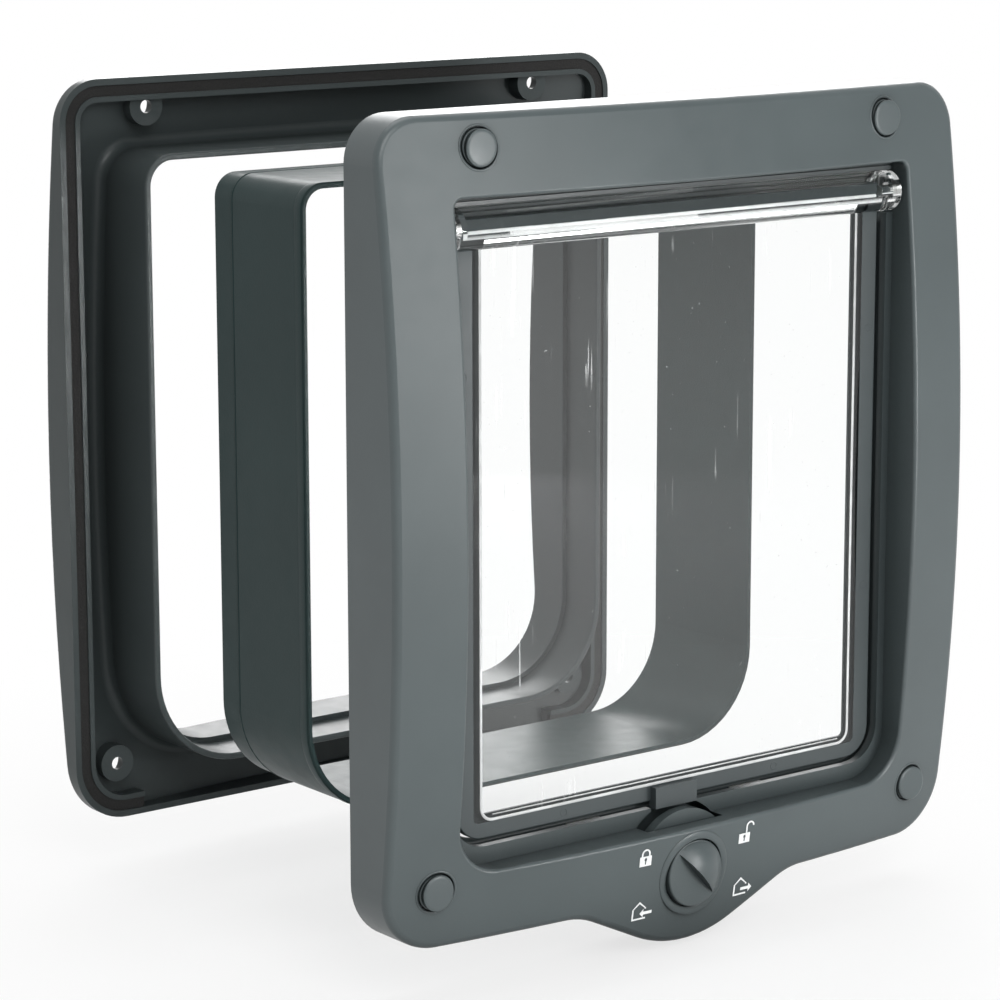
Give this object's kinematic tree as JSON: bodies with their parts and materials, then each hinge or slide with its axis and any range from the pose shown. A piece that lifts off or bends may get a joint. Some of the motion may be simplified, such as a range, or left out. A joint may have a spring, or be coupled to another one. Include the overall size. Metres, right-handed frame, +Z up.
{
  "type": "cat flap",
  "caption": "Two-way cat flap for a door, shown apart: room frame with clear swinging flap and turning lock, tunnel and outer frame.",
  "frame": {"origin": "on the door-side rim plane of the room frame, at its middle, midway between its upper and lower screw rows", "axes": "+X to the right as seen from the room, +Y from the room into the door, +Z up"},
  "size_m": [0.211, 0.1889, 0.2446],
  "materials": {
    "grey_plastic": "satin moulded ABS",
    "dark_plastic": "satin moulded ABS, inside face",
    "tunnel_plastic": "fine textured ABS",
    "clear_plastic": "clear polished polycarbonate",
    "cap_plastic": "satin moulded ABS",
    "inner_plastic": "moulded acetal",
    "sign_paint": "white pad print",
    "steel": "drawn steel",
    "magnet": "nickel plated magnet",
    "foam": "closed cell foam strip"
  },
  "bodies": {
    "room_frame": {"inner_frame": "grey_plastic", "hinge_retainer": "inner_plastic", "lock_cover": "inner_plastic", "cover_screws": "steel", "frame_magnets": "magnet", "click_spring": "steel", "lock_signs": "sign_paint", "cap_top_left": "cap_plastic", "cap_top_right": "cap_plastic", "cap_bottom_left": "cap_plastic", "cap_bottom_right": "cap_plastic", "hinge_pin_left": "steel", "hinge_pin_right": "steel"},
    "flap": {"flap_rim": "grey_plastic", "flap_tab": "grey_plastic", "flap_window": "clear_plastic", "flap_magnets": "magnet"},
    "lock": {"lock_knob": "grey_plastic", "lock_cam_front": "grey_plastic", "lock_cam_rear": "grey_plastic", "lock_screw": "steel"},
    "tunnel": {"tunnel": "tunnel_plastic"},
    "outer_frame": {"outer_frame": "dark_plastic", "outer_gasket": "foam"}
  },
  "joints": [
    {"name": "flap_swing", "type": "hinge", "parent": "room_frame", "child": "flap", "pos_m": [0, -0.0125, 0.0796], "axis": [1, 0, 0], "range_deg": [-70, 70]},
    {"name": "lock_turn", "type": "hinge", "parent": "room_frame", "child": "lock", "pos_m": [0, -0.015, -0.1122], "axis": [0, 1, 0], "range_deg": [-90, 180]},
    {"name": "tunnel_slide", "type": "slide", "parent": "room_frame", "child": "tunnel", "axis": [0, 1, 0], "range_m": [-0.0522, 0]},
    {"name": "outer_slide", "type": "slide", "parent": "tunnel", "child": "outer_frame", "axis": [0, 1, 0], "range_m": [-0.049, 0]}
  ]
}
